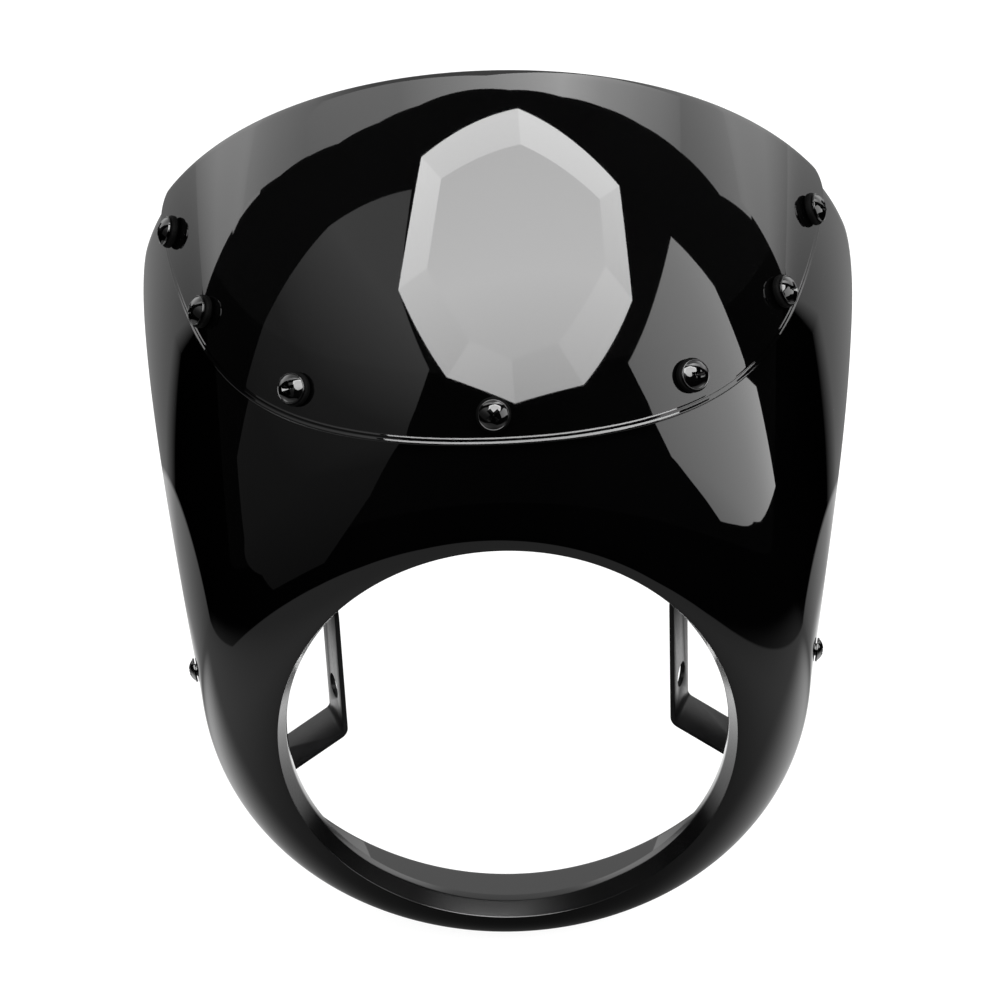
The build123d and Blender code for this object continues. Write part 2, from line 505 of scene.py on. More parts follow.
def linked(name: str, bm: bmesh.types.BMesh, materials: list[bpy.types.Material]) -> bpy.types.Object:
    """Turn a bmesh into an object of the scene.

    Args:
        name: The object's name.
        bm: The mesh, which is freed.
        materials: Its materials, in the order of the faces' numbers.

    Returns:
        The new object, at the origin.
    """
    mesh = bpy.data.meshes.new(name)
    bm.to_mesh(mesh)
    bm.free()
    for material in materials:
        mesh.materials.append(material)
    made = bpy.data.objects.new(name, mesh)
    bpy.context.scene.collection.objects.link(made)
    return made


def new_piece(
    name: str, bm: bmesh.types.BMesh, material: bpy.types.Material
) -> bpy.types.Object:
    """Turn a bmesh into a smooth piece that rides on the object's body.

    Args:
        name: The piece's name.
        bm: The mesh, which is freed.
        material: The piece's material.

    Returns:
        The new object, at the origin.
    """
    for face in bm.faces:
        face.smooth = True
    for edge in bm.edges:
        edge.smooth = edge.calc_face_angle(0.0) < SHARP_ANGLE
    piece = linked(name, bm, [material])
    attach(piece, "root")
    return piece


def close_up(bm: bmesh.types.BMesh) -> bmesh.types.BMesh:
    """Merge a mesh's seams and turn its normals outward.

    Args:
        bm: The mesh.

    Returns:
        The same mesh.
    """
    bmesh.ops.remove_doubles(bm, verts=bm.verts, dist=MERGE_DISTANCE)
    bmesh.ops.recalc_face_normals(bm, faces=bm.faces)
    return bm


def loop_grid(columns: list[list[Vector]], closed: bool) -> bmesh.types.BMesh:
    """Grid whose columns are closed loops of points, such as the section of a wall.

    Args:
        columns: Points of each loop, all loops with as many points.
        closed: Whether the last loop joins the first.

    Returns:
        A bmesh with its seams merged and its normals outward.
    """
    across = len(columns)
    around = len(columns[0])
    spans = across if closed else across - 1
    bm = bmesh.new()
    bmesh.ops.create_grid(bm, x_segments=spans, y_segments=around, size=0.5)
    for vert in bm.verts:
        column = round((vert.co.x + 0.5) * spans) % across
        row = round((vert.co.y + 0.5) * around) % around
        vert.co = columns[column][row]
    return close_up(bm)


def turned(profile: list[Pair], steps: int) -> bmesh.types.BMesh:
    """Round solid made by spinning a profile about the Z axis.

    Args:
        profile: Radius and height of each point, from axis to axis or as a closed ring.
        steps: Spans round the axis.

    Returns:
        A closed bmesh.
    """
    bm = bmesh.new()
    points = [bm.verts.new((radius, 0.0, height)) for radius, height in profile]
    ends = list(zip(points, points[1:]))
    if profile[0][0] > 0.0:
        ends.append((points[-1], points[0]))
    edges = [bm.edges.new(pair) for pair in ends]
    bmesh.ops.spin(
        bm,
        geom=[*points, *edges],
        cent=(0.0, 0.0, 0.0),
        axis=(0.0, 0.0, 1.0),
        angle=math.tau,
        steps=steps,
        use_merge=True,
    )
    return close_up(bm)


def arc(centre: Pair, radius: float, start: float, end: float, spans: int) -> list[Pair]:
    """Points along an arc in a flat profile, from a first angle to a last one in degrees."""
    angles = [math.radians(start + (end - start) * i / spans) for i in range(spans + 1)]
    return [(centre[0] + radius * math.cos(a), centre[1] + radius * math.sin(a)) for a in angles]


def copies(pattern: bmesh.types.BMesh, places: list[Matrix]) -> bmesh.types.BMesh:
    """One mesh with a copy of a pattern at each place.

    Args:
        pattern: The mesh to copy, which is freed.
        places: Where each copy goes.

    Returns:
        The joined bmesh.
    """
    mesh = bpy.data.meshes.new("pattern")
    pattern.to_mesh(mesh)
    pattern.free()
    bm = bmesh.new()
    for place in places:
        start = len(bm.verts)
        bm.from_mesh(mesh)
        bm.verts.ensure_lookup_table()
        bmesh.ops.transform(bm, matrix=place, verts=bm.verts[start:])
    bpy.data.meshes.remove(mesh)
    return bm


def crossing(depth: Callable[[float], float], inside: float, outside: float) -> float:
    """Parameter where a depth falls to zero.

    Args:
        depth: Depth at a parameter, positive inside.
        inside: A parameter with a positive depth.
        outside: A parameter with a negative depth.

    Returns:
        The parameter of the crossing, or inside where the depth is never positive.
    """
    if depth(inside) <= 0.0:
        return inside
    for _ in range(HALVINGS):
        middle = (inside + outside) / 2
        if depth(middle) > 0.0:
            inside = middle
        else:
            outside = middle
    return inside


# Shape shared by the shell, the screen and everything that seats on them


@dataclass(frozen=True)
class CowlForm:
    """Outer form behind the lamp's rim: upright slices, each an ellipse."""

    rim_radius: float = 0.0920
    rim_ahead: float = 0.00916
    shoulder_depth: float = 0.0146
    shoulder_side: float = 0.0244
    shoulder_top: float = 0.0139
    shoulder_bottom: float = 0.0124
    side_flare: float = 12.9
    side_sweep: float = 2.22
    top_flare: float = 70.8
    top_sweep: float = 0.24
    bottom_flare: float = 8.0

    @staticmethod
    def sweep_rise(back: float, flare: float, radius: float) -> float:
        """Height gained along an arc that leaves the rim at the flare angle and bends back towards Y.

        Args:
            back: Distance behind the rim.
            flare: Angle at the rim in degrees.
            radius: The arc's radius.

        Returns:
            The height gained.
        """
        turn = math.radians(flare)
        reach = radius * math.sin(turn)
        return math.sqrt(radius**2 - (back - reach) ** 2) - radius * math.cos(turn)

    def station(self, run: float) -> Pair:
        """Distance behind the rim and share of the shoulder's rise.

        Args:
            run: 0 at the rim, 1 behind the shoulder, and on from there in shoulder depths.

        Returns:
            The distance and the share.
        """
        if run < 1.0:
            turn = math.radians(90 * run)
            return self.shoulder_depth * (1 - math.cos(turn)), math.sin(turn)
        return self.shoulder_depth * run, 1.0

    def slice(self, run: float) -> tuple[float, float, float, float]:
        """Ellipse of one slice.

        Args:
            run: Station along the form.

        Returns:
            Distance behind the rim, half width, half height and height of the centre.
        """
        back, roll = self.station(run)
        half_width = self.rim_radius + self.shoulder_side * roll
        half_width += self.sweep_rise(back, self.side_flare, self.side_sweep)
        top = self.rim_radius + self.shoulder_top * roll
        top += self.sweep_rise(back, self.top_flare, self.top_sweep)
        bottom = self.rim_radius + self.shoulder_bottom * roll
        bottom += back * math.tan(math.radians(self.bottom_flare))
        return back, half_width, (top + bottom) / 2, (top - bottom) / 2

    def point(self, turn: float, run: float) -> Vector:
        """Point of the form at an angle in radians, from +X towards +Z, and a station.

        Args:
            turn: Angle round the slice.
            run: Station along the form.

        Returns:
            The point.
        """
        back, half_width, half_height, middle = self.slice(run)
        across = half_width * math.cos(turn)
        height = middle + half_height * math.sin(turn)
        return Vector((across, back - self.rim_ahead, height))

    def normal(self, turn: float, run: float) -> Vector:
        """Outward normal of the form.

        Args:
            turn: Angle round the slice in radians.
            run: Station along the form.

        Returns:
            The unit normal.
        """
        step = 1e-4
        low = max(run - step, 0.0)
        along = self.point(turn, run + step) - self.point(turn, low)
        around = self.point(turn + step, run) - self.point(turn - step, run)
        return along.cross(around).normalized()

    def lifted(self, turn: float, run: float, height: float) -> Vector:
        """Point at a height over the form, which is negative inside."""
        return self.point(turn, run) + self.normal(turn, run) * height

    def inside(self, place: Vector) -> float:
        """How far inside the form a place is, positive inside, as a share of the slice.

        Args:
            place: The place to test, behind the rim.

        Returns:
            The share.
        """
        back = place.y + self.rim_ahead
        run = back / self.shoulder_depth
        if run < 1.0:
            run = math.degrees(math.acos(1 - max(run, 0.0))) / 90
        _, half_width, half_height, middle = self.slice(run)
        return 1 - (place.x / half_width) ** 2 - ((place.z - middle) / half_height) ** 2

    def seat(self, start: Vector, direction: Vector) -> Matrix:
        """Place on the skin where a line leaves the form behind the rim's plane, with Z outward.

        Args:
            start: A point inside the form.
            direction: The line's unit direction.

        Returns:
            The seat's matrix.
        """
        step = 1e-5
        reach = SEAT_REACH
        if direction.y < 0.0:
            reach = min(reach, (start.y + self.rim_ahead) / -direction.y - step)
        far = crossing(lambda run: self.inside(start + direction * run), 0.0, reach)
        place = start + direction * far
        slopes = []
        for axis in range(3):
            nudge = Vector((0.0, 0.0, 0.0))
            nudge[axis] = step
            slopes.append(self.inside(place - nudge) - self.inside(place + nudge))
        outward = Vector(slopes).normalized()
        return Matrix.Translation(place) @ outward.to_track_quat("Z", "Y").to_matrix().to_4x4()


@dataclass(frozen=True)
class SideView:
    """Edges of the shell and the screen as seen from the side, measured behind the rim and up."""

    rear_back: float = 0.050
    bend_height: float = 0.0015
    bend_radius: float = 0.150
    corner_back: float = 0.215
    corner_height: float = 0.094
    corner_radius: float = 0.025
    top_lean: float = 37.0
    screen_height: float = 0.1299
    screen_slope: float = 6.8
    screen_corner: float = 0.008
    lap: float = 0.0215
    lap_taper: float = 2.8

    def screen_tip(self) -> Vector:
        """Corner where the screen's lower edge meets the slanted top edge, before its rounding.

        Returns:
            Distance behind the rim and height.
        """
        rise = math.tan(math.radians(self.screen_slope))
        lean = math.tan(math.radians(self.top_lean))
        above = self.screen_height - self.corner_height
        back = (self.corner_back - above * lean) / (1 + rise * lean)
        return Vector((back, self.screen_height + rise * back))

    def rear_at(self, height: float) -> float:
        """Rear edge of the shell at a height.

        Args:
            height: Height over the lamp's axis.

        Returns:
            Distance behind the rim.
        """
        slant = Vector((self.corner_back - self.rear_back, self.corner_height - self.bend_height))
        slant.normalize()
        bend = self.bend_radius * math.tan(math.acos(slant.y) / 2)
        bend_start = self.bend_height - bend
        lean = math.radians(self.top_lean)
        upward = Vector((-math.sin(lean), math.cos(lean)))
        half = math.acos(-slant.dot(upward)) / 2
        setback = self.corner_radius / math.tan(half)
        corner = Vector((self.corner_back, self.corner_height))
        low = corner - slant * setback
        high = corner + upward * setback
        centre = low + Vector((-slant.y, slant.x)) * self.corner_radius
        if height <= bend_start:
            return self.rear_back
        if height <= self.bend_height + bend * slant.y:
            swing = math.sqrt(self.bend_radius**2 - (height - bend_start) ** 2)
            return self.rear_back + self.bend_radius - swing
        if height <= low.y:
            return self.rear_back + (height - self.bend_height) * slant.x / slant.y
        if height <= high.y:
            return centre.x + math.sqrt(self.corner_radius**2 - (height - centre.y) ** 2)
        return self.corner_back - (height - self.corner_height) * math.tan(lean)

    def shell_depth(self, back: float, height: float) -> float:
        """Depth inside the shell's outline.

        Args:
            back: Distance behind the rim.
            height: Height over the lamp's axis.

        Returns:
            The depth, positive inside.
        """
        rise = math.tan(math.radians(self.screen_slope - self.lap_taper))
        under_top = self.screen_height + self.lap + rise * back - height
        return min(self.rear_at(height) - back, under_top)

    def screen_depth(self, back: float, height: float) -> float:
        """Depth inside the screen's outline, which has a rounded lower rear corner.

        Args:
            back: Distance behind the rim.
            height: Height over the lamp's axis.

        Returns:
            The depth, positive inside.
        """
        slope = math.radians(self.screen_slope)
        lean = math.radians(self.top_lean)
        corner = self.screen_tip()
        ahead = Vector((-math.cos(slope), -math.sin(slope)))
        upward = Vector((-math.sin(lean), math.cos(lean)))
        over = Vector((-math.sin(slope), math.cos(slope)))
        before = Vector((-math.cos(lean), -math.sin(lean)))
        place = Vector((back, height))
        half = math.acos(ahead.dot(upward)) / 2
        setback = self.screen_corner / math.tan(half)
        centre = corner + ahead * setback + over * self.screen_corner
        out = place - centre
        if out.dot(ahead) < 0.0 and out.dot(upward) < 0.0:
            return self.screen_corner - out.length
        return min((place - corner).dot(over), (place - corner).dot(before))


FORM = CowlForm()
SIDE_VIEW = SideView()


# Sub-assemblies


@dataclass
class FairingShell:
    """Moulded shell: a wall that follows the form, with a lip turned in round the lamp."""

    wall: float = 0.003
    edge_round: float = 0.0008
    cone_edge: float = 0.090145
    rim_roll: float = 0.0003
    roll_rows: int = 6
    lip_lean: float = 67.0
    cone_settle: float = 0.04
    satin_margin: float = 0.00004
    lip_wall: float = 0.003
    lamp_radius: float = 0.087
    land_length: float = 0.0035
    columns: int = 360
    shoulder_rows: int = 14
    body_rows: int = 44
    edge_rows: int = 3
    run_step: float = 0.25
    deepest: float = 16.0

    def lip_profile(self) -> list[Pair]:
        """Section of the lip, from its back round the land and the cone to the rim.

        Returns:
            Radius and distance behind the rim of each point.
        """
        lean = math.radians(self.lip_lean)
        land_start = (self.cone_edge - self.lamp_radius) * math.tan(lean)
        land_end = land_start + self.land_length
        back_radius = self.lamp_radius + self.lip_wall
        small = self.edge_round / 2
        middle = self.cone_edge + self.rim_roll * math.tan(lean / 2)
        roll = arc((middle, self.rim_roll), self.rim_roll, 270 - self.lip_lean, 270, self.roll_rows)
        foot = Vector((self.lamp_radius + small * math.cos(lean), land_start - small * math.sin(lean)))
        shares = (0.0, self.cone_settle, 1 - self.cone_settle)
        cone = [foot.lerp(Vector(roll[0]), share) for share in shares]
        return [
            (back_radius, land_end - small),
            (back_radius - small, land_end),
            (self.lamp_radius + small, land_end),
            (self.lamp_radius, land_end - small),
            (self.lamp_radius, land_start + small),
            *[(point.x, point.y) for point in cone],
            *roll,
        ]

    def edge_run(self, turn: float, height: float, inset: float) -> float:
        """Station where the wall ends.

        Args:
            turn: Angle round the slice in radians.
            height: Height over the form, negative for inside the wall.
            inset: Depth inside the outline.

        Returns:
            The station.
        """

        def depth(run: float) -> float:
            """Depth at a station."""
            place = FORM.lifted(turn, run, height)
            return SIDE_VIEW.shell_depth(place.y + FORM.rim_ahead, place.z) - inset

        run = 1.0
        while depth(run + self.run_step) > 0.0 and run < self.deepest:
            run += self.run_step
        return crossing(depth, run, run + self.run_step)

    def section(self, turn: float) -> list[Vector]:
        """Closed section of the wall at one angle.

        Args:
            turn: Angle round the slice in radians.

        Returns:
            Points round the section, from the lip's back by the rim and the rear edge to the inside.
        """
        cos, sin = math.cos(turn), math.sin(turn)
        lip = [Vector((far * cos, back - FORM.rim_ahead, far * sin)) for far, back in self.lip_profile()]
        shoulder = [i / self.shoulder_rows for i in range(self.shoulder_rows + 1)]
        outside = self.body_runs(self.edge_run(turn, 0.0, self.edge_round))
        inside = self.body_runs(self.edge_run(turn, -self.wall, self.edge_round))
        rows = [(run, 0.0) for run in [*shoulder, *outside]]
        rows += [(self.edge_run(turn, height, inset), height) for inset, height in self.edge_profile()]
        rows += [(run, -self.wall) for run in [*reversed(inside), *reversed(shoulder)]]
        return [*lip, *[FORM.lifted(turn, run, height) for run, height in rows]]

    def body_runs(self, end: float) -> list[float]:
        """Stations from behind the shoulder, without the first, to the end of the wall."""
        return [1 + (end - 1) * i / self.body_rows for i in range(1, self.body_rows + 1)]

    def edge_profile(self) -> list[Pair]:
        """Section of the rear edge, from outside to inside.

        Returns:
            Inset and height of each point.
        """
        r = self.edge_round
        outer = arc((r, -r), r, 90, 180, self.edge_rows)[1:]
        inner = arc((r, r - self.wall), r, 180, 270, self.edge_rows)[:-1]
        return [*outer, *inner]

    def build(self, finish: Moulding) -> bpy.types.Object:
        """Build and dress the shell.

        Args:
            finish: Its finish.

        Returns:
            The shell.
        """
        turns = [math.tau * i / self.columns for i in range(self.columns)]
        bm = loop_grid([self.section(turn) for turn in turns], closed=True)
        satin = bm.verts.layers.float.new("satin")
        for vert in bm.verts:
            on_lip = math.hypot(vert.co.x, vert.co.z) < self.cone_edge - self.satin_margin
            vert[satin] = 1.0 if on_lip else 0.0
        piece = new_piece("cowl_shell", bm, dressing(finish))
        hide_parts("fairing_shell")
        return piece


@dataclass
class Windscreen:
    """Smoked sheet that laps over the outside of the shell's top edge."""

    gap: float = 0.0003
    thickness: float = 0.003
    edge_round: float = 0.0008
    bead_round: float = 0.0005
    bead_rise: float = 0.0002
    bead_foot: float = 0.0013
    line_start: float = 0.00175
    line_crest: float = 0.00195
    line_foot: float = 0.0025
    line_rise: float = 0.00013
    bead_settle: float = 0.0001
    slope_rows: int = 4
    bead_fade: float = 0.012
    columns: int = 240
    rows: int = 44
    edge_rows: int = 4
    deepest: float = 16.0

    @property
    def outside(self) -> float:
        """Height of the screen's outer face over the form."""
        return self.gap + self.thickness

    @staticmethod
    def depth(turn: float, run: float) -> float:
        """Depth of a form point inside the screen's outline, positive inside."""
        place = FORM.point(turn, run)
        return SIDE_VIEW.screen_depth(place.y + FORM.rim_ahead, place.z)

    def deepest_run(self, turn: float) -> float:
        """Station where a column is deepest inside the outline.

        Args:
            turn: Angle round the slice in radians.

        Returns:
            The station.
        """
        low, high = 0.0, self.deepest
        for _ in range(THIRDINGS):
            first = low + (high - low) / 3
            second = high - (high - low) / 3
            if self.depth(turn, first) < self.depth(turn, second):
                low = first
            else:
                high = second
        return (low + high) / 2

    def tip_turn(self) -> float:
        """Angle of the screen's lower rear corner on the right, in radians."""
        return crossing(lambda turn: self.depth(turn, self.deepest_run(turn)), math.pi / 2, 0.0)

    def section(self, turn: float) -> list[Vector]:
        """Closed section of the sheet at one angle.

        Args:
            turn: Angle round the slice in radians.

        Returns:
            Points round the section, from the lower edge over the outside and back inside.
        """
        middle = self.deepest_run(turn)

        def edge(inset: float, far: float) -> float:
            """Station of the edge on a far station's side, at an inset."""
            return crossing(lambda run: self.depth(turn, run) - inset, middle, far)

        corner = self.rounding(self.edge_round, 0.0)
        lows = [(edge(inset, 0.0), drop) for inset, drop in corner]
        highs = [(edge(inset, self.deepest), drop) for inset, drop in corner]
        share = min(1.0, max(0.0, self.depth(turn, middle)) / self.bead_fade)
        beads = []
        for inset, rise in self.bead_profile():
            beads.append((edge(inset, 0.0), rise if rise < 0.0 else rise * share))
        start = beads[-1][0]
        face = [start + (highs[-1][0] - start) * i / self.rows for i in range(1, self.rows)]
        rows = [(run, self.outside + rise) for run, rise in beads]
        rows += [(run, self.outside) for run in face]
        rows += [(run, self.outside + drop) for run, drop in reversed(highs)]
        rows += [(run, self.gap - drop) for run, drop in highs]
        rows += [(run, self.gap) for run in reversed(face)]
        rows += [(run, self.gap - drop) for run, drop in reversed(lows)]
        return [FORM.lifted(turn, run, height) for run, height in rows]

    def bead_profile(self) -> list[Pair]:
        """Section of the beads along the lower edge, from the edge inward.

        Returns:
            Inset and height of each point.
        """
        falls = [i / self.slope_rows for i in range(1, self.slope_rows + 1)]
        edge = self.rounding(self.bead_round, self.bead_rise)
        width = self.bead_foot - self.bead_round
        edge += [(self.bead_round + width * fall, self.bead_rise * (1 - fall)) for fall in falls]
        width = self.line_foot - self.line_crest
        line = [(self.line_crest + width * fall, self.line_rise * (1 - fall)) for fall in [0.0, *falls]]
        settled = [(foot + self.bead_settle, 0.0) for foot in (self.bead_foot, self.line_foot)]
        return [*edge, settled[0], (self.line_start, 0.0), *line, settled[1]]

    def rounding(self, radius: float, height: float) -> list[Pair]:
        """Inset and height of each point round an edge, up to a height at its inner end."""
        return arc((radius, height - radius), radius, 180, 90, self.edge_rows)

    def build(self, finish: Moulding) -> bpy.types.Object:
        """Build and dress the screen.

        Args:
            finish: Its finish.

        Returns:
            The screen.
        """
        half = math.pi / 2 - self.tip_turn()
        shares = [math.cos(math.pi * i / self.columns) for i in range(self.columns + 1)]
        turns = [math.pi / 2 - half * share for share in shares]
        bm = loop_grid([self.section(turn) for turn in turns], closed=False)
        piece = new_piece("screen_sheet", bm, dressing(finish))
        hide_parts("windscreen")
        return piece


@dataclass(frozen=True)
class CrossHeadScrew:
    """Domed screw with a cross recess, whose head stands on the XY plane."""

    head_radius: float
    head_edge: float
    head_height: float
    shank_radius: float
    shank_length: float
    slot_half_width: float
    slot_half_length: float
    slot_depth: float
    slot_taper: float = 0.15
    rim_bead: float = 0.00022
    bead_turn: float = 150.0
    bead_rows: int = 6
    dome_rows: int = 12
    under_bevel: float = 0.0002
    thread_pitch: float = 0.0008
    thread_depth: float = 0.0003
    thread_length: float = 0.0064
    steps: int = 48

    def shank(self) -> list[Pair]:
        """Profile of the shank with its thread, from the tip up to the head.

        Returns:
            Radius and height of each point.
        """
        root = self.shank_radius - self.thread_depth
        points = [(0.0, -self.shank_length), (root, -self.shank_length)]
        for crest in range(round(self.thread_length / self.thread_pitch)):
            height = -self.shank_length + self.thread_pitch * (crest + 0.5)
            points += [(self.shank_radius, height), (root, height + self.thread_pitch / 2)]
        points += [(self.shank_radius, points[-1][1] + self.thread_depth), (self.shank_radius, 0.0)]
        return points

    def crown(self) -> list[Pair]:
        """Profile of the rounded rim and the dome, from the head's edge up to the axis.

        Returns:
            Radius and height of each point.
        """
        centre = (self.head_radius - self.rim_bead, self.head_edge)
        bead = arc(centre, self.rim_bead, 0, self.bead_turn, self.bead_rows)
        foot, base = bead[-1]
        rise = self.head_height - base
        dome = (foot**2 + rise**2) / (2 * rise)
        spread = math.degrees(math.asin(foot / dome))
        crown = arc((0.0, self.head_height - dome), dome, 90 - spread, 90, self.dome_rows)[1:-1]
        return [*bead, *crown, (0.0, self.head_height)]

    def in_cross(self, face: bmesh.types.BMFace) -> bool:
        """Whether a face of the dome lies in the recess.

        Args:
            face: The face.

        Returns:
            True for a face of the recess.
        """
        middle = face.calc_center_median()
        low, high = sorted((abs(middle.x), abs(middle.y)))
        return middle.z > self.head_edge and low < self.slot_half_width and high < self.slot_half_length

    def cut_cross(self, bm: bmesh.types.BMesh) -> None:
        """Sink a cross into the dome.

        Args:
            bm: The screw's mesh.
        """
        reaches = (self.slot_half_length, self.slot_half_width)
        for across in (Vector((1.0, 0.0, 0.0)), Vector((0.0, 1.0, 0.0))):
            for offset in (*reaches, *[-reach for reach in reaches]):
                dome = [face for face in bm.faces if face.calc_center_median().z > self.head_edge]
                rim = {edge for face in dome for edge in face.edges}
                corners = {vert for face in dome for vert in face.verts}
                geom = [*dome, *rim, *corners]
                place = across * offset
                bmesh.ops.bisect_plane(bm, geom=geom, dist=CUT_DISTANCE, plane_co=place, plane_no=across)
        cross = [face for face in bm.faces if self.in_cross(face)]
        sunk = bmesh.ops.extrude_face_region(bm, geom=cross)["geom"]
        bmesh.ops.delete(bm, geom=[face for face in cross if face.is_valid], context="FACES_ONLY")
        floor = [item for item in sunk if isinstance(item, bmesh.types.BMVert)]
        bmesh.ops.translate(bm, vec=(0.0, 0.0, -self.slot_depth), verts=floor)
        bmesh.ops.scale(bm, vec=(self.slot_taper, self.slot_taper, 1.0), verts=floor)
        bmesh.ops.recalc_face_normals(bm, faces=bm.faces)

    def mesh(self) -> bmesh.types.BMesh:
        """Build the screw.

        Returns:
            Its mesh.
        """
        under = [(self.head_radius - self.under_bevel, 0.0), (self.head_radius, self.under_bevel)]
        bm = turned([*self.shank(), *under, *self.crown()], self.steps)
        self.cut_cross(bm)
        return bm


@dataclass(frozen=True)
class SoftenedSolid:
    """Pressed or rolled piece: a merged copy of its solid with every sharp edge broken."""

    node: str
    name: str
    finish: Grained
    edge: float = 0.0003
    flatness: float = 0.5

    def build(self) -> bpy.types.Object:
        """Build and dress the piece.

        Returns:
            The piece.
        """
        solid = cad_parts[self.node]
        bm = bmesh.new()
        bm.from_mesh(solid.data)
        bmesh.ops.transform(bm, matrix=solid.matrix_world, verts=bm.verts)
        bmesh.ops.remove_doubles(bm, verts=bm.verts, dist=MERGE_DISTANCE)
        limit = math.radians(self.flatness)
        bmesh.ops.dissolve_limit(bm, angle_limit=limit, verts=bm.verts, edges=bm.edges)
        sharp = [edge for edge in bm.edges if edge.calc_face_angle(0.0) > SHARP_ANGLE]
        bmesh.ops.bevel(
            bm,
            geom=sharp,
            offset=self.edge,
            offset_type="OFFSET",
            segments=2,
            profile=0.5,
            affect="EDGES",
            material=-1,
            clamp_overlap=True,
        )
        bmesh.ops.recalc_face_normals(bm, faces=bm.faces)
        piece = new_piece(self.name, bm, dressing(self.finish))
        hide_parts(self.node)
        return piece


@dataclass
class ScreenFixings:
    """Domed cross-head screws through the screen, each on a rubber washer and with a nut behind."""

    hub_back: float = 0.150
    fan: tuple[float, ...] = (-84.0, -58.5, -32.0, 0.0, 32.0, 58.5, 84.0)
    cross_turns: tuple[float, ...] = (15.0, 62.0, 28.0, 40.0, 75.0, 50.0, 8.0)
    inset: float = 0.0096
    seat_gap: float = 0.0003
    screen_outside: float = 0.0033
    shell_wall: float = 0.003
    nut_height: float = 0.004
    tail: float = 0.0015
    rubber_hole: float = 0.0028
    rubber_radius: float = 0.0066
    rubber_thickness: float = 0.003
    rubber_round: float = 0.0011
    round_rows: int = 5
    rubber_steps: int = 40

    def seats(self) -> list[Matrix]:
        """Places on the form under each screw.

        Returns:
            Their matrices.
        """
        rise = math.tan(math.radians(SIDE_VIEW.screen_slope))
        height = SIDE_VIEW.screen_height + self.inset + rise * self.hub_back
        hub = Vector((0.0, self.hub_back - FORM.rim_ahead, height))
        places = []
        for angle in self.fan:
            turn = math.radians(angle)
            towards = Vector((math.sin(turn), -math.cos(turn), -math.cos(turn) * rise)).normalized()
            places.append(FORM.seat(hub, towards))
        return places

    def screw(self) -> CrossHeadScrew:
        """Sizes of one screw."""
        rubber_top = self.screen_outside + 2 * self.seat_gap + self.rubber_thickness
        return CrossHeadScrew(
            head_radius=0.0058,
            head_edge=0.0008,
            head_height=0.0032,
            shank_radius=0.0025,
            shank_length=rubber_top + self.shell_wall + self.seat_gap + self.nut_height + self.tail,
            slot_half_width=0.0008,
            slot_half_length=0.0027,
            slot_depth=0.0024,
        )

    def rubber(self) -> bmesh.types.BMesh:
        """One washer, standing on the XY plane.

        Returns:
            Its mesh.
        """
        r = self.rubber_round
        far = self.rubber_radius - r
        low = arc((far, r), r, 270, 360, self.round_rows)
        high = arc((far, self.rubber_thickness - r), r, 0, 90, self.round_rows)
        hole = [(self.rubber_hole, 0.0), (self.rubber_hole, self.rubber_thickness)]
        return turned([hole[0], *low, *high, hole[1]], self.rubber_steps)

    def build(self) -> list[bpy.types.Object]:
        """Build and dress the screws, their washers and their nuts.

        Returns:
            The three pieces.
        """
        seats = self.seats()
        rubber_base = self.screen_outside + self.seat_gap
        head_base = rubber_base + self.rubber_thickness + self.seat_gap
        lift = Matrix.Translation((0, 0, head_base))
        turns = [Matrix.Rotation(math.radians(cross), 4, "Z") for cross in self.cross_turns]
        screws = copies(self.screw().mesh(), [seat @ lift @ turn for seat, turn in zip(seats, turns)])
        lift = Matrix.Translation((0, 0, rubber_base))
        washers = copies(self.rubber(), [seat @ lift for seat in seats])
        screw_piece = new_piece("cross_head_screws", screws, dressing(BLACK_SCREW))
        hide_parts("windscreen_screws")
        washer_piece = new_piece("rubber_washers", washers, dressing(BLACK_RUBBER))
        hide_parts("screw_washers")
        nuts = SoftenedSolid("windscreen_nuts", "screw_nuts", ZINC).build()
        return [screw_piece, washer_piece, nuts]


class Side(Enum):
    """The two mirrored sides of the cowl, as a sign along X."""

    LEFT = -1
    RIGHT = 1


@dataclass
class BracketHardware:
    """Strap brackets, with the bolts, washers and nuts that hold them to the shell's sides."""

    leg_offset: float = 0.0695
    leg_back: float = 0.049
    strap_turn: float = 18.7
    bolt_heights: Pair = (-0.019, 0.017)
    seat_gap: float = 0.0003

    def bolt(self) -> CrossHeadScrew:
        """Sizes of one bolt."""
        return CrossHeadScrew(
            head_radius=0.0048,
            head_edge=0.0006,
            head_height=0.0028,
            shank_radius=0.0025,
            shank_length=0.0127,
            slot_half_width=0.0007,
            slot_half_length=0.0026,
            slot_depth=0.0017,
        )

    def seats(self) -> list[Matrix]:
        """Places of the bolts' heads over the shell's sides.

        Returns:
            Their matrices.
        """
        turn = math.radians(self.strap_turn)
        lift = Matrix.Translation((0.0, 0.0, self.seat_gap))
        places = []
        for side in Side:
            outward = Vector((side.value * math.cos(turn), -math.sin(turn), 0.0))
            for height in self.bolt_heights:
                start = Vector((side.value * self.leg_offset, self.leg_back - FORM.rim_ahead, height))
                places.append(FORM.seat(start, outward) @ lift)
        return places

    def build(self) -> list[bpy.types.Object]:
        """Build and dress the brackets and their fixings.

        Returns:
            The pieces.
        """
        bm = copies(self.bolt().mesh(), self.seats())
        bolts = new_piece("domed_bolts", bm, dressing(BLACK_SCREW))
        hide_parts("bracket_bolts")
        plain = [
            SoftenedSolid("left_bracket", "left_strap", BLACK_STRAP),
            SoftenedSolid("right_bracket", "right_strap", BLACK_STRAP),
            SoftenedSolid("bracket_washers", "bolt_washers", ZINC, edge=0.00015),
            SoftenedSolid("bracket_nuts", "bolt_nuts", ZINC),
        ]
        return [bolts, *[piece.build() for piece in plain]]


# Studio


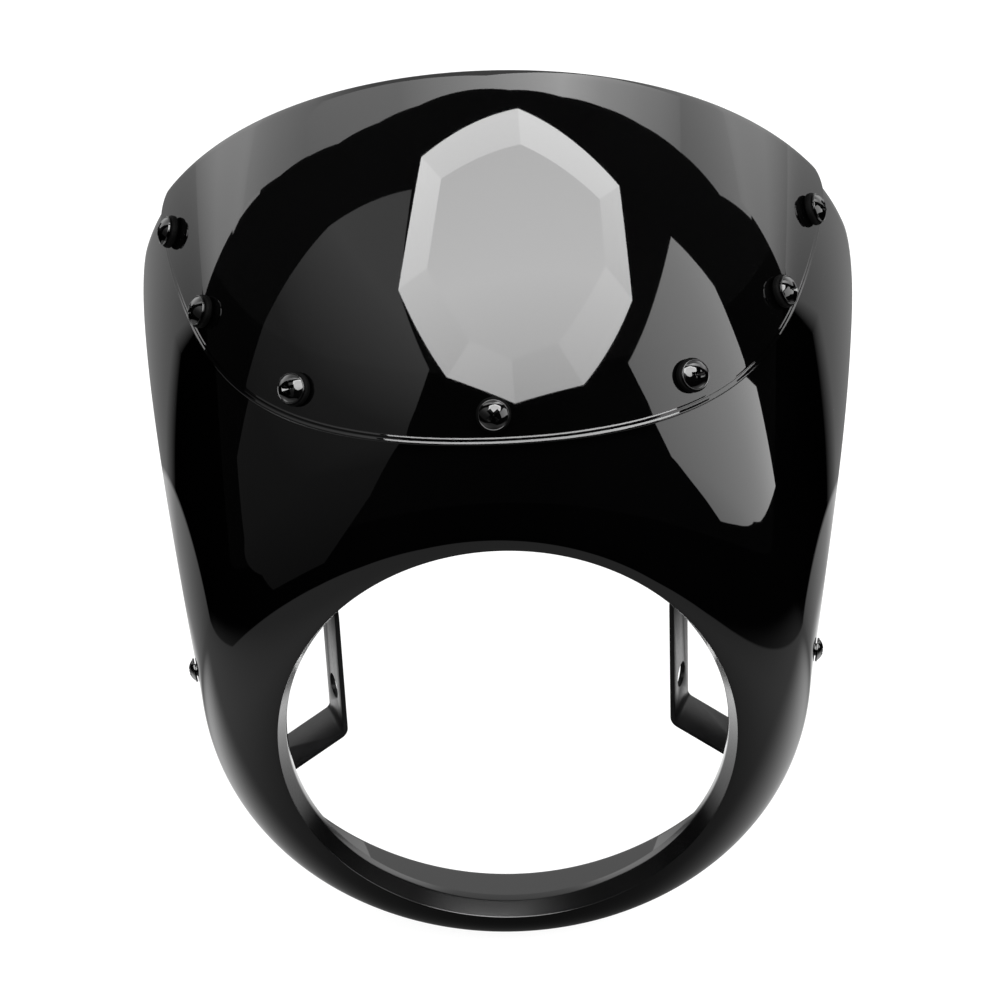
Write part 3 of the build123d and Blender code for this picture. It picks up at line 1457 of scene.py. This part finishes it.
def stage_piece(
    name: str, bm: bmesh.types.BMesh, materials: list[bpy.types.Material]
) -> bpy.types.Object:
    """Turn a bmesh into a piece of the studio.

    Args:
        name: The piece's name.
        bm: The mesh, which is freed.
        materials: Its materials, in the order of the faces' numbers.

    Returns:
        The new object.
    """
    piece = linked(name, bm, materials)
    return piece


def bearing(azimuth: float, elevation: float) -> Vector:
    """Unit vector from the object, with 0 azimuth in front and +X at 90.

    Args:
        azimuth: Angle round the object in degrees.
        elevation: Angle over the floor in degrees.

    Returns:
        The direction.
    """
    turn = math.radians(azimuth)
    rise = math.radians(elevation)
    return Vector((math.sin(turn) * math.cos(rise), -math.cos(turn) * math.cos(rise), math.sin(rise)))


def stand(place: Vector, out: Vector, roll: float = 0.0) -> Matrix:
    """Matrix of something flat at a place.

    Args:
        place: Its centre.
        out: The direction of its Z axis.
        roll: Turn about that axis in degrees, clockwise as seen from its tip.

    Returns:
        The matrix, upright before the roll.
    """
    right = Vector((0.0, 0.0, 1.0)).cross(out).normalized()
    turn = Matrix((right, out.cross(right), out)).transposed().to_4x4()
    return Matrix.Translation(place) @ turn @ Matrix.Rotation(math.radians(-roll), 4, "Z")


@dataclass(frozen=True)
class Panel:
    """Flat lit panel that faces the object from a direction."""

    name: str
    azimuth: float
    elevation: float
    distance: float
    corners: tuple[Pair, ...]
    glow: Glow
    border: float = 0.0
    border_glows: tuple[Glow, ...] = ()

    def build(self, aim: Vector) -> None:
        """Build the panel.

        Args:
            aim: The point that it faces.
        """
        bm = bmesh.new()
        face = bm.faces.new([bm.verts.new((x, y, 0.0)) for x, y in self.corners])
        materials = [self.glow.material()]
        if self.border_glows:
            bm.normal_update()
            bmesh.ops.inset_individual(bm, faces=[face], thickness=self.border, use_even_offset=True)
            sides = [part for part in bm.faces if part is not face]
            for number, part in enumerate(sides):
                part.material_index = 1 + number % len(self.border_glows)
            materials += [glow.material() for glow in self.border_glows]
        out = bearing(self.azimuth, self.elevation)
        bmesh.ops.transform(bm, matrix=stand(aim + out * self.distance, out), verts=bm.verts)
        panel = stage_piece(self.name, bm, materials)
        panel.visible_camera = False


OCTAGON = (
    (0.16, 0.59), (0.7, 0.35), (0.58, -0.045), (0.19, -0.36),
    (-0.1, -0.435), (-0.34, -0.29), (-0.55, 0.1), (-0.395, 0.545),
)
RIGHT_BOX = (
    (-0.45, 0.4), (0.21, 0.4), (0.32, 0.18), (0.34, -0.02),
    (0.45, -0.11), (0.44, -0.29), (0.02, -0.17), (-0.48, -0.18),
)
LEFT_PANEL = (
    (-0.64, -0.11), (-0.6, 0.2), (-0.4, 0.6), (-0.02, 1.12), (0.1, 0.9), (0.23, 0.68), (0.6, 0.52),
    (0.61, 0.15), (0.65, -0.1), (0.62, -0.48), (0.52, -0.51), (0.2, -0.31), (-0.31, -0.15),
)
REAR_WALL = ((-2.6, -1.05), (2.6, -1.05), (4.7, 1.7), (-4.7, 1.7))
REAR_MIDDLE = ((-1.0, -1.05), (1.0, -1.05), (1.0, 1.7), (-1.0, 1.7))
CANOPY_FRONT = (
    (1.29, -0.38), (0.93, -0.2), (0.6, -0.1), (0.35, -0.06), (-0.11, -0.056),
    (-0.38, -0.09), (-0.63, -0.157), (-0.96, -0.267), (-1.47, -0.47),
)
CANOPY = (
    (6.0, -3.0), (3.36, -1.58), (1.9, -0.7),
    *CANOPY_FRONT,
    (-2.59, -0.96), (-6.0, -3.0), (-6.0, -6.0), (6.0, -6.0),
)
OVERHEAD_STRIP = (*CANOPY_FRONT, (-1.47, -0.9), (-0.63, -0.5), (0.0, -0.14), (0.35, -0.25), (1.29, -0.6))

FACE_FADE = ((0.0, 0.76), (0.45, 1.0), (1.0, 0.9))
BORDER_FADE = ((0.0, 0.58), (0.5, 0.85), (1.0, 1.0))
RIGHT_FADE = ((0.0, 0.42), (0.6, 0.7), (1.0, 1.0))
LEFT_FADE = ((0.0, 0.07), (0.45, 0.12), (0.65, 0.22), (0.85, 0.62), (1.0, 0.9))
REAR_FADE = ((0.0, 0.36), (0.37, 0.72), (1.0, 1.0))
MIDDLE_FADE = ((0.0, 0.7), (1.0, 1.0))
CANOPY_FADE = ((0.0, 1.0), (0.3, 0.95), (0.4, 0.45), (0.6, 0.45), (0.7, 0.95), (1.0, 1.0))
STRIP_FADE = (
    (0.0, 0.28), (0.3, 0.38), (0.43, 0.62), (0.6, 1.0),
    (0.69, 0.68), (0.81, 0.49), (1.0, 0.3),
)

PANELS = (
    Panel(
        "octagon_box",
        azimuth=10.5,
        elevation=54.5,
        distance=0.9,
        corners=OCTAGON,
        glow=Glow("octagon_face", 12.5, Run.UP, 0.6, 1.12, FACE_FADE, sampled=True),
        border=0.15,
        border_glows=(
            Glow("octagon_border", 16.8, Run.UP, 0.6, 1.16, BORDER_FADE, sampled=True),
            Glow("octagon_fold", 15.2, Run.UP, 0.6, 1.16, BORDER_FADE, sampled=True),
        ),
    ),
    Panel(
        "right_box",
        azimuth=72.0,
        elevation=14.0,
        distance=0.9,
        corners=RIGHT_BOX,
        glow=Glow("right_face", 6.0, Run.DEEP, -0.8, 0.4, RIGHT_FADE, sampled=True),
    ),
    Panel(
        "left_panel",
        azimuth=-57.0,
        elevation=12.0,
        distance=0.9,
        corners=LEFT_PANEL,
        glow=Glow("left_face", 1.2, Run.UP, -0.1, 0.9, LEFT_FADE),
    ),
    Panel(
        "rear_wall",
        azimuth=180.0,
        elevation=0.0,
        distance=2.0,
        corners=REAR_WALL,
        glow=Glow("rear_face", 2.5, Run.UP, -0.1, 0.9, REAR_FADE),
    ),
    Panel(
        "rear_middle",
        azimuth=180.0,
        elevation=0.0,
        distance=1.95,
        corners=REAR_MIDDLE,
        glow=Glow("rear_middle_face", 1.05, Run.UP, -0.1, 0.9, MIDDLE_FADE),
    ),
    Panel(
        "canopy",
        azimuth=180.0,
        elevation=89.9,
        distance=1.0,
        corners=CANOPY,
        glow=Glow("canopy_face", 2.3, Run.ACROSS, -3.0, 3.0, CANOPY_FADE),
    ),
    Panel(
        "overhead_strip",
        azimuth=180.0,
        elevation=89.9,
        distance=0.99,
        corners=OVERHEAD_STRIP,
        glow=Glow("overhead_face", 8.0, Run.ACROSS, -1.3, 1.5, STRIP_FADE),
    ),
)
FLOOR_POOLS = (
    Pool(0.0, 0.155, 0.28, 0.14, 2.4),
    Pool(-0.27, 0.01, 0.22, 0.12, 2.4),
    Pool(-0.35, -0.1, 0.45, 0.35, 0.4),
    Pool(0.26, 0.0, 0.21, 0.14, 2.3),
    Pool(0.32, -0.08, 0.4, 0.3, 0.35),
)
FLOOR_PATCHES = (
    Pool(-0.15, -0.2, 0.3, 0.42, 1.0, edge=20.0, skew=0.25),
    Pool(-0.08, 0.0, 0.57, 0.38, 1.0, edge=20.0),
)


@dataclass
class Studio:
    """Pale floor, soft panels and the camera."""

    floor_height: float = -0.1116
    floor_half_width: float = 4.0
    pool_lift: float = 0.0002
    aim: Triple = (0.0, 0.04, 0.1)
    camera_target: Triple = (0.0, 0.05084, 0.07376)
    camera_distance: float = 1.3
    camera_elevation: float = 33.32
    camera_yaw: float = -1.153
    camera_roll: float = 2.567
    lens: float = 118.56
    sensor: float = 36.0
    dimness: float = 0.012

    def flat(self, height: float) -> bmesh.types.BMesh:
        """Large level square.

        Args:
            height: Its height.

        Returns:
            The mesh.
        """
        bm = bmesh.new()
        place = Matrix.Translation((0.0, 0.0, height))
        bmesh.ops.create_grid(bm, x_segments=8, y_segments=8, size=self.floor_half_width, matrix=place)
        return bm

    def floors(self) -> None:
        """Build the pale floor that the camera sees and the pools of light that the gloss shows."""
        pale = stage_piece("floor", self.flat(self.floor_height), [PaleFloor().material()])
        pale.visible_glossy = False
        pools = PoolOfLight("floor_pools", FLOOR_POOLS, FLOOR_PATCHES).material()
        shown = stage_piece("floor_glow", self.flat(self.floor_height + self.pool_lift), [pools])
        shown.visible_camera = False
        shown.visible_diffuse = False
        shown.visible_shadow = False

    def camera(self) -> None:
        """Place the camera at the photograph's viewing angle."""
        data = bpy.data.cameras.new("camera")
        data.lens = self.lens
        data.sensor_width = self.sensor
        data.sensor_fit = "HORIZONTAL"
        camera = bpy.data.objects.new("camera", data)
        bpy.context.scene.collection.objects.link(camera)
        out = bearing(-self.camera_yaw, self.camera_elevation)
        place = Vector(self.camera_target) + out * self.camera_distance
        camera.matrix_world = stand(place, out, self.camera_roll)
        bpy.context.scene.camera = camera

    def surroundings(self) -> None:
        """Make the world white for the camera and dim for everything else."""
        world = bpy.data.worlds.new("studio")
        world.use_nodes = True
        tree = world.node_tree
        path = tree.nodes.new("ShaderNodeLightPath")
        level = tree.nodes.new("ShaderNodeMath")
        level.operation = "MAXIMUM"
        level.inputs[1].default_value = self.dimness
        background = tree.nodes["Background"]
        background.inputs["Color"].default_value = WHITE
        tree.links.new(path.outputs["Is Camera Ray"], level.inputs[0])
        tree.links.new(level.outputs[0], background.inputs["Strength"])
        bpy.context.scene.world = world

    def build(self) -> None:
        """Build the floors, the panels, the camera and the surroundings."""
        self.floors()
        for panel in PANELS:
            panel.build(Vector(self.aim))
        self.camera()
        self.surroundings()
        bpy.context.scene.view_settings.view_transform = "Standard"


def main() -> None:
    """Build every piece in order and report it."""
    logging.basicConfig(level=logging.INFO, format="%(message)s")
    pieces = [FairingShell().build(GLOSS_BLACK), Windscreen().build(SMOKED)]
    pieces += ScreenFixings().build()
    pieces += BracketHardware().build()
    for piece in pieces:
        LOG.info("%s: %d faces", piece.name, len(piece.data.polygons))
    Studio().build()


if __name__ == "__main__":
    main()
